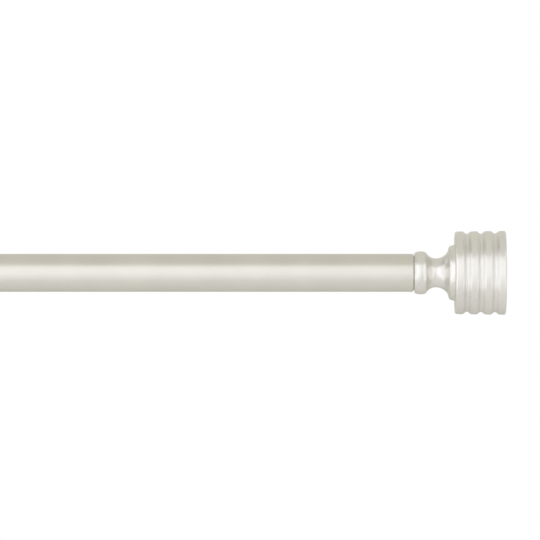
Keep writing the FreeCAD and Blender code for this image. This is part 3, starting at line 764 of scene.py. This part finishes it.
def make_rod():
    """Both tubes with what is in them, and a finial at each end."""
    make_tube("outer_tube", "rod", lip=0.6)
    make_tube("inner_tube", "rod_extension", lip=0.3)
    make_bush()
    make_glide()
    for side, body in (("right", "rod"), ("left", "rod_extension")):
        make_plug(side, body)
        make_nut(side, "plug", STUD + 0.05, body)
        make_washer(side)
        make_neck(side)
        make_drum(side)
        make_back_disc(side)
        make_stud(side)
        make_nut(side, "finial", STUD, f"{side}_finial")


# ---- brackets ----

PLATE = 2.0
COVER_SKIN = 1.2
PLATE_NUBS, NUB_HALF = 3, 0.062
WALL_HOLE, WALL_HOLE_OUT = 2.3, 17.0
LOCK, LOCK_PITCH = 2.5, 0.8
LOCK_NECK, KNOB, KNURLS = 1.5, 8.0, 24
STRAP, STRAP_WIDTH, STRAP_CORNER = 2.0, 14.0, 5.0
CRADLE = 13.4
ROWS = {"upper": 1, "lower": -1}

# How many points a strap's section has.
SECTION = 20


def make_plate(side):
    """The wall plate: a countersunk centre, two screw holes and three nubs that grip the cover."""
    axis = wall_axis(side)
    rim, sink, hole = 26.5, 4.9, 2.55
    edge, nub_gap = rim - 0.7, 0.1
    corners = [(0, sink, 0.1), (0, rim, 0.35), (PLATE, rim, 0.5), (PLATE, hole, 0.05)]
    grip = reach(f"{side}_wall_cover", "z") - COVER_SKIN - nub_gap - rim

    def shape(along, radius, angle):
        if radius < edge:
            return radius
        spacing = 2 * math.pi / PLATE_NUBS
        off = (angle + spacing / 2) % spacing - spacing / 2
        return radius + grip * max(0.0, 1 - (off / NUB_HALF) ** 2)

    piece = lathe(f"{side}_plate_skin", axis, corners, materials["zinc_steel"], 360, shape, sharp=25)
    relief, relief_end = 3.4, 0.5
    steps = (-1, relief), (relief_end, relief), (relief_end, WALL_HOLE), (PLATE + 1, WALL_HOLE)
    for way in ROWS.values():
        drill(piece, turned_tool(axis.moved(WALL_HOLE_OUT * way), *steps))
    finish_piece(piece, "wall_mounts", "zinc_steel", f"{side}_wall_plate")


def make_cover(side):
    """The stepped cover that hides the plate."""
    axis = wall_axis(side)
    name = f"{side}_wall_cover"
    end = axis.span(name)[1]
    rim, step, hub, bore = reach(name, "z"), 24.5, 11.5, 8.3
    low, high = 4.5, 8.0
    skin = COVER_SKIN
    corners = [
        (0, rim - skin, 0.2),
        (0, rim, 0.3),
        (low, rim, 1.0),
        (low, step, 0.5),
        (high, step, 1.0),
        (high, hub, 0.9),
        (end, hub, 1.0),
        (end, bore, 0.25),
        (high - skin, bore, 0.2),
        (high - skin, step - skin, 0.4),
        (low - skin, step - skin, 0.4),
        (low - skin, rim - skin, 0.4),
    ]
    turn_piece(f"{side}_cover_skin", axis, corners, "bracket_metal", f"{side}_cover", name, TUBE_AROUND)


def make_sleeve(side):
    """The arm's fixed sleeve, with a turned collar that is drilled below for the lock screw."""
    axis = wall_axis(side)
    name = f"{side}_arm_sleeve"
    start, end = axis.span(name)
    collar, tube, bore, bolt = reach(name, "x"), 8.0, 5.1, 2.5
    collar_start, floor = end - 13.0, 12.0
    corners = [
        (start, bolt),
        (start, tube, 0.2),
        (collar_start, tube, 0.5),
        (collar_start, collar, 0.9),
        (end, collar, 0.9),
        (end, bore, 0.3),
        (floor, bore, 0.1),
        (floor, bolt, 0.1),
    ]
    piece = lathe(f"{side}_sleeve_skin", axis, corners, materials["bracket_metal"], 144)
    drill(piece, turned_tool(lock_axis(side, "arm"), (1.5, LOCK), (8.0, LOCK)))
    finish_piece(piece, "wall_mounts", "bracket_metal", name)


def make_arm(side):
    """The sliding arm rod, with a long flat below for the lock screw's tip."""
    axis = wall_axis(side)
    name = f"{side}_arm_rod"
    start, end = axis.span(name)
    radius, flat, chamfer = 5.0, 0.6, 0.6
    screw, depth = 2.0, 9.5
    round_end = 4

    def shape(along, own, angle):
        if own < radius - 0.01 or not start + round_end <= along <= end - round_end:
            return own
        down = -math.cos(angle)
        return min(own, (radius - flat) / down) if down > 0.5 else own

    corners = [
        (start, 0),
        (start, radius - chamfer, 0.1),
        (start + chamfer, radius, 0.1),
        (start + 3.9, radius),
        (start + 4.1, radius),
        (end - 4.1, radius),
        (end - 3.9, radius),
        (end, radius, 0.15),
        (end, screw, 0.05),
        (end - depth, screw),
        (end - depth, 0),
    ]
    body = f"{side}_arm"
    turn_piece(body + "_skin", axis, corners, "bracket_metal", body, name, 128, shape, sharp=20)


def strap_section(half, thick, edge):
    """A rounded rectangle round a strap, as SECTION points (across, out)."""
    steps = SECTION // 4
    points = []
    for across, out, start in ((1, 1, 0), (-1, 1, 90), (-1, -1, 180), (1, -1, 270)):
        for step in range(steps):
            angle = math.radians(start + step * 90 / (steps - 1))
            sideways = across * (half - edge) + edge * math.cos(angle)
            outwards = out * (thick / 2 - edge) + edge * math.sin(angle)
            points.append((sideways, outwards))
    return points


def make_strap(name, centre, inside, thick, width, back_up, front_up, corner, material):
    """A flat strip bent into a U, with rounded ends. Its back leg is the one nearer the wall."""
    tip_steps, bend_steps = 12, 64
    middle = inside + thick / 2
    bend = math.pi * middle
    length = back_up + bend + front_up
    edge = min(0.4, thick * 0.35)
    tip = [corner * (1 - math.cos(math.pi / 2 * step / tip_steps)) for step in range(tip_steps + 1)]
    stations = tip + [back_up + bend * step / bend_steps for step in range(bend_steps + 1)]
    stations += [length - near for near in tip]
    vertices = []
    for at in sorted(set(round(station, 4) for station in stations)):
        if at < back_up:
            spot, way = Vector((0, middle, back_up - at)), Vector((0, 1, 0))
        elif at <= back_up + bend:
            turn = (at - back_up) / middle
            way = Vector((0, math.cos(turn), -math.sin(turn)))
            spot = way * middle
        else:
            spot, way = Vector((0, -middle, at - back_up - bend)), Vector((0, -1, 0))
        near = max(0.0, min(at, length - at))
        short = max(0.0, corner - near)
        half = width / 2 - corner + math.sqrt(corner * corner - short * short)
        thin = max(0.0, edge - near)
        depth = thick - 2 * edge + 2 * math.sqrt(edge * edge - thin * thin)
        own_edge = min(edge, depth / 2 - 0.01)
        for across, out in strap_section(half, depth, max(own_edge, 0.02)):
            vertices.append(centre + (spot + way * out + Vector((across, 0, 0))) * MM)
    last = len(vertices) - SECTION
    faces = [tuple(range(SECTION))[::-1], tuple(range(last, last + SECTION))]
    for here in range(0, last, SECTION):
        there = here + SECTION
        for place in range(SECTION):
            following = (place + 1) % SECTION
            faces.append((here + place, here + following, there + following, there + place))
    return new_piece(name, vertices, faces, material, sharp=40)


def make_cradle(side):
    """The bent cradle strap, countersunk in its back leg, and the boss below it for the lock screw."""
    middle = centre_of("outer_tube")
    centre = Vector((centre_of(f"{side}_cradle").x, middle.y, middle.z))
    lift = (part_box(f"{side}_cradle")[1].z - centre.z) / MM
    name, look = f"{side}_cradle_skin", materials["strap_metal"]
    strap = make_strap(name, centre, CRADLE, STRAP, STRAP_WIDTH, lift, lift / 2, STRAP_CORNER, look)
    lock = lock_axis(side, "rod")
    head, shank = 3.9, 2.05
    sink = ((-1, head), (0, head), (STRAP, shank), (STRAP + 1, shank))
    drill(strap, turned_tool(lock, (-2, LOCK), (6, LOCK)), turned_tool(cradle_screw_axis(side), *sink))
    finish_piece(strap, f"{side}_arm", "bracket_metal", f"{side}_cradle")
    bottom = (lock.start.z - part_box(f"{side}_cradle")[0].z) / MM
    top, boss, bead = 1.4, 5.5, 0.5
    corners = [
        (top, LOCK),
        (top, boss),
        (2.2, boss + bead, 0.4),
        (2.9, boss, 0.4),
        (bottom, boss, 0.5),
        (bottom, LOCK, 0.3),
    ]
    piece = lathe(f"{side}_boss_skin", lock, corners, materials["knob_metal"], 96)
    finish_piece(piece, f"{side}_arm", "bracket_metal")


def make_pad(side):
    """The soft lining in the cradle, pierced for the lock screw."""
    middle = centre_of("outer_tube")
    centre = Vector((centre_of(f"{side}_cradle_pad").x, middle.y, middle.z))
    thick, width, corner = 0.6, 12.0, 0.45
    back_up, front_up = 0.5, 4.0
    name, look = f"{side}_pad_skin", materials["pad_rubber"]
    pad = make_strap(name, centre, CRADLE - thick, thick, width, back_up, front_up, corner, look)
    hole = LOCK + 0.2
    drill(pad, turned_tool(lock_axis(side, "rod"), (-2, hole), (4, hole)))
    finish_piece(pad, f"{side}_arm", "pad_rubber", f"{side}_cradle_pad")


def cradle_screw_axis(side):
    """The line of a cradle screw, starting at its head and pointing at the wall."""
    middle = centre_of(f"{side}_cradle_screw")
    return Axis((middle.x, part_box(f"{side}_cradle_screw")[0].y, middle.z), (0, 1, 0))


def make_flat_head(node, axis, head, height, shank, pitch, body):
    """A countersunk machine screw with a hexagonal socket and a cut thread."""
    start, end = axis.span(node)
    socket = shank * 0.68 * math.sqrt(3)
    floor = start + height + 0.6
    chamfer, thread_depth = 0.5, 0.3
    cut = threaded(shank, pitch, thread_depth, start + height + 0.3, end - chamfer)

    def shape(along, radius, angle):
        if abs(radius - socket / 2) < 0.01:
            return hexagon(socket, angle)
        return cut(along, radius, angle)

    corners = [
        (floor, 0),
        (floor, socket / 2, CRISP),
        (start, socket / 2, CRISP),
        (start, head - 0.12, 0.02),
        (start + 0.15, head, 0.05),
        (start + height, shank, 0.1),
    ]
    corners += run(start + height + 0.2, end - 0.6, shank, pitch / 8)
    corners += [(end - chamfer, shank, 0.02), (end, shank - chamfer, 0.05), (end, 0)]
    turn_piece(f"{node}_skin", axis, corners, "zinc_steel", body, node, COARSE, shape)


def make_lock(side, what):
    """A knurled thumb screw with a threaded shank, and the nylon tip that turns in its end."""
    axis = lock_axis(side, what)
    tip_node, screw_node = f"{side}_{what}_lock_tip", f"{side}_{what}_lock_screw"
    pin_end = axis.span(tip_node)[1]
    start, end = axis.span(screw_node)
    tip, pin = 1.8, 1.2
    corners = [
        (0, 0),
        (0, tip, 0.35),
        (start, tip, 0.15),
        (start, pin, 0.05),
        (pin_end, pin, 0.2),
        (pin_end, 0),
    ]
    turn_piece(f"{tip_node}_skin", axis, corners, "nylon_pale", tip_node, tip_node, COARSE)
    shank, knob = LOCK - 0.05, reach(screw_node, "x")
    thread_depth, chamfer = 0.32, 0.4
    knurl_depth, knurl_rim, knurl_fade = 0.42, 1.0, 0.8
    neck, dish = 3.6, end - 0.35
    bore, bore_end = pin + 0.05, pin_end + 0.2
    grip = end - KNOB
    collar = grip - LOCK_NECK
    cut = threaded(shank, LOCK_PITCH, thread_depth, start + chamfer, collar - 0.2)

    def shape(along, radius, angle):
        if radius < knob - knurl_rim:
            return cut(along, radius, angle)
        flute = (0.5 + 0.5 * math.cos(KNURLS * angle)) ** 1.5
        return radius - knurl_depth * flute * min(1.0, (radius - knob + knurl_rim) / knurl_fade)

    corners = [
        (bore_end, 0),
        (bore_end, bore),
        (start, bore),
        (start, shank - chamfer, 0.05),
        (start + chamfer, shank, 0.02),
    ]
    corners += run(start + 0.5, collar - 0.1, shank, 0.12)
    corners += [
        (collar, shank, 0.02),
        (collar, neck, 0.25),
        (grip, neck, 0.2),
        (grip, knob, 0.7),
        (end, knob, 0.7),
        (end, 4.6, 0.15),
        (dish, 4.2, 0.15),
        (dish, 0),
    ]
    piece = lathe(f"{screw_node}_skin", axis, corners, materials["knob_metal"], 216, shape, sharp=40)
    finish_piece(piece, f"{side}_{what}_lock", "bracket_metal", screw_node)


def wall_screw_axis(side, way):
    """The line of a bracket's upper or lower wall screw, starting on the wall and pointing into it."""
    middle = centre_of(f"{side}_arm_sleeve")
    return Axis((middle.x, 0, middle.z + WALL_HOLE_OUT * way * MM), (0, 1, 0))


def finish_pair(pieces, slot, node):
    """Finishes two fixed pieces that stand for one node together."""
    finish_piece(pieces[0], "wall_mounts", slot, node)
    finish_piece(pieces[1], "wall_mounts", slot)


def make_wall_screws(side):
    """Pan-head wood screws with a cross recess, a coarse thread and a point."""
    start, end = wall_screw_axis(side, 1).span(f"{side}_wall_screws")
    shank, head, head_bend, head_rim = 2.0, 4.0, 4.9, -PLATE - 0.5
    thread_start, pitch, depth = 2.0, 1.8, 0.3
    point, point_steps = 4.0, 12
    recess, wide, narrow = 1.6, 2.2, 0.45

    def shape(along, radius, angle):
        if along < thread_start or radius > shank + 0.01:
            return radius
        return radius * (1 - depth * thread(along, angle, pitch))

    corners = [(start, 0)]
    corners += arc((start, 0), (head_rim, head), head_bend, -1, 12)
    corners += [(-PLATE, head - 0.1, 0.2), (-PLATE, shank, 0.1), (thread_start - 0.1, shank)]
    corners += run(thread_start, end - point, shank, 0.2)
    for step in range(point_steps - 1, 0, -1):
        corners.append((end - point * step / point_steps, shank * step / point_steps))
    corners += [(end, 0)]
    pieces = []
    for word, way in ROWS.items():
        axis = wall_screw_axis(side, way)
        name = f"{side}_wall_screw_{word}"
        piece = lathe(name, axis, corners, materials["zinc_steel"], 48, shape, sharp=50)
        upright = cross_tool(axis, start, recess, narrow, wide)
        level = cross_tool(axis, start, recess, wide, narrow)
        drill(piece, upright, level)
        pieces.append(piece)
    finish_pair(pieces, "zinc_steel", f"{side}_wall_screws")


def cross_tool(axis, start, depth, half_width, half_height):
    """One bar of a cross recess, whose ends taper towards its floor."""
    taper = 0.45
    vertices = []
    for at, share in ((start - 1, 1.0), (start + depth, taper)):
        width = half_width * (share if half_width > half_height else 1)
        height = half_height * (share if half_height > half_width else 1)
        for across, up in ((-1, -1), (1, -1), (1, 1), (-1, 1)):
            way = axis.other * across * width + axis.side * up * height
            vertices.append(axis.start + (axis.along * at + way) * MM)
    faces = [(0, 1, 2, 3), (7, 6, 5, 4)]
    for place in range(4):
        following = (place + 1) % 4
        faces.append((place + 4, following + 4, following, place))
    return new_piece("tool", vertices, faces, materials["zinc_steel"])


def make_anchors(side):
    """Ribbed plastic wall anchors with a rim, saw-tooth barbs and a split body."""
    start, end = wall_screw_axis(side, 1).span(f"{side}_wall_anchors")
    outer, bore = 3.0, 2.0
    mouth = bore + 0.35
    split_from, split_half = 9.0, 0.14
    waist, root = outer - 0.25, outer - 0.45
    barbs, barb_pitch = 6, 3.0

    def shape(along, radius, angle):
        if radius < mouth or not split_from < along < end - 2.5:
            return radius
        return bore + 0.02 if abs(math.sin(angle)) < split_half else radius

    corners = [(start, bore), (start, outer, 0.15), (start + 1.2, outer, 0.1), (start + 1.5, waist, 0.1)]
    corners += [(split_from - 0.1, waist), (split_from + 0.1, waist)]
    for barb in range(barbs):
        at = split_from + 1.0 + barb_pitch * barb
        corners += [(at, root), (at + 2.6, outer, 0.05), (at + 2.8, root)]
    corners += [(end - 2.6, root), (end - 2.4, root), (end, mouth, 0.2), (end - 2, bore)]
    pieces = []
    for word, way in ROWS.items():
        axis = wall_screw_axis(side, way)
        name = f"{side}_wall_anchor_{word}"
        pieces.append(lathe(name, axis, corners, materials["anchor_plastic"], 120, shape, sharp=35))
    finish_pair(pieces, "anchor_plastic", f"{side}_wall_anchors")


def make_bracket(side):
    """One wall bracket with its cradle, locks and fasteners."""
    make_plate(side)
    make_cover(side)
    make_sleeve(side)
    make_arm(side)
    make_cradle(side)
    make_pad(side)
    bolt = {"head": 4.8, "height": PLATE, "shank": 2.5, "pitch": 0.8, "body": "wall_mounts"}
    make_flat_head(f"{side}_arm_bolt", wall_axis(side), **bolt)
    screw = {"head": 3.8, "height": STRAP, "shank": 2.0, "pitch": 0.7, "body": f"{side}_arm"}
    make_flat_head(f"{side}_cradle_screw", cradle_screw_axis(side), **screw)
    make_lock(side, "arm")
    make_lock(side, "rod")
    make_wall_screws(side)
    make_anchors(side)


# ---- studio ----


def make_floor():
    """A wide pale floor that is see-through from below."""
    size, height, around = 9.0, -2.1, 96
    dull, bright = (0.86, 0.855, 0.84), (0.89, 0.885, 0.87)
    vertices = []
    for step in range(around):
        angle = 2 * math.pi * step / around
        vertices.append((size * math.cos(angle), size * math.sin(angle), height))
    nodes = Nodes("pale_floor")
    speckle = nodes.noise((30, 30, 30), 3)
    pale = nodes.mix(nodes.spread(speckle, 0, 1), dull, bright)
    nodes.link(pale, nodes.shader.inputs["Base Color"])
    nodes.shader.inputs["Roughness"].default_value = 0.9
    clear = nodes.tree.nodes.new("ShaderNodeBsdfTransparent")
    side = nodes.tree.nodes.new("ShaderNodeNewGeometry")
    blend = nodes.tree.nodes.new("ShaderNodeMixShader")
    nodes.link(side.outputs["Backfacing"], blend.inputs["Fac"])
    nodes.link(nodes.shader.outputs["BSDF"], blend.inputs[1])
    nodes.link(clear.outputs["BSDF"], blend.inputs[2])
    nodes.link(blend.outputs["Shader"], nodes.tree.nodes["Material Output"].inputs["Surface"])
    floor = new_piece("floor", vertices, [tuple(range(around))], nodes.material)


def make_world():
    """Soft warm surroundings, dimmer to the left and right. The camera itself sees plain white."""
    warm, plain = (1.0, 0.985, 0.90, 1), (1, 1, 1, 1)
    world = bpy.data.worlds.new("studio")
    bpy.context.scene.world = world
    world.use_nodes = True
    tree = world.node_tree
    around = tree.nodes["Background"]
    around.inputs["Color"].default_value = warm
    way = tree.nodes.new("ShaderNodeTexCoord")
    parts = tree.nodes.new("ShaderNodeSeparateXYZ")
    sideways = tree.nodes.new("ShaderNodeMath")
    sideways.operation = "ABSOLUTE"
    dimming = tree.nodes.new("ShaderNodeMapRange")
    dimming.interpolation_type = "SMOOTHSTEP"
    limits = {"From Min": 0.35, "From Max": 0.8, "To Min": 0.68, "To Max": 0.41}
    for name, number in limits.items():
        dimming.inputs[name].default_value = number
    tree.links.new(way.outputs["Generated"], parts.inputs["Vector"])
    tree.links.new(parts.outputs["X"], sideways.inputs[0])
    tree.links.new(sideways.outputs["Value"], dimming.inputs["Value"])
    tree.links.new(dimming.outputs["Result"], around.inputs["Strength"])
    white = tree.nodes.new("ShaderNodeBackground")
    white.inputs["Color"].default_value = plain
    path = tree.nodes.new("ShaderNodeLightPath")
    blend = tree.nodes.new("ShaderNodeMixShader")
    tree.links.new(path.outputs["Is Camera Ray"], blend.inputs["Fac"])
    tree.links.new(around.outputs["Background"], blend.inputs[1])
    tree.links.new(white.outputs["Background"], blend.inputs[2])
    tree.links.new(blend.outputs["Shader"], tree.nodes["World Output"].inputs["Surface"])


def softbox(name, target, azimuth, elevation, distance, width, height, glow, colour):
    """A rectangular soft light facing the target. Azimuth 0 is in front of the rod, 90 to its right."""
    lamp = bpy.data.lights.new(name, "AREA")
    lamp.shape = "RECTANGLE"
    lamp.size, lamp.size_y = width, height
    lamp.energy = glow * width * height * math.pi
    lamp.color = colour
    box = bpy.data.objects.new(name, lamp)
    bpy.context.scene.collection.objects.link(box)
    turn, rise = math.radians(azimuth), math.radians(elevation)
    away = Vector((math.sin(turn) * math.cos(rise), -math.cos(turn) * math.cos(rise), math.sin(rise)))
    box.location = target + away * distance
    box.rotation_mode = "QUATERNION"
    box.rotation_quaternion = away.to_track_quat("Z", "Y")
    box.visible_camera = False


def make_lights(target):
    """Each row of numbers is azimuth, elevation, distance, width, height and glow."""
    cool = (0.93, 0.96, 1.08)
    lights = {
        "left_softbox": (-52, 4, 2.6, 3.4, 4.4, 0.66),
        "right_softbox": (50, 4, 2.6, 3.0, 4.4, 0.56),
        "right_end_fill": (112, 8, 3.0, 2.0, 3.4, 0.42),
        "left_end_fill": (-112, 8, 3.0, 2.0, 3.4, 0.42),
        "front_fill": (-6, 3, 2.9, 1.7, 5.0, 0.47),
    }
    for name, numbers in lights.items():
        softbox(name, target, *numbers, cool)


def make_camera():
    """Straight in front of the right-hand end of the rod, level with it, as in the photograph.

    Returns the point it looks at, in metres like every length here.
    """
    axis = rod_axis("right")
    distance, width_seen, sensor = 4.5, 0.3609, 36
    inward, rise = -0.0958, 0.0019
    data = bpy.data.cameras.new("camera")
    data.sensor_width = sensor
    data.lens = sensor * distance / width_seen
    camera = bpy.data.objects.new("camera", data)
    bpy.context.scene.collection.objects.link(camera)
    camera.location = axis.start + Vector((inward, -distance, rise))
    camera.rotation_euler = (math.radians(90), 0, 0)
    bpy.context.scene.camera = camera
    return axis.start + Vector((inward, 0, 0))


def make_studio():
    """The floor, surroundings, lights and camera, with plain colour handling."""
    scene = bpy.context.scene
    scene.view_settings.view_transform = "Standard"
    scene.view_settings.look = "None"
    make_floor()
    make_world()
    make_lights(make_camera())


# ---- build ----


def main():
    """Builds everything, the rod first."""
    make_rod()
    for side in SIDES:
        make_bracket(side)
    make_studio()


main()
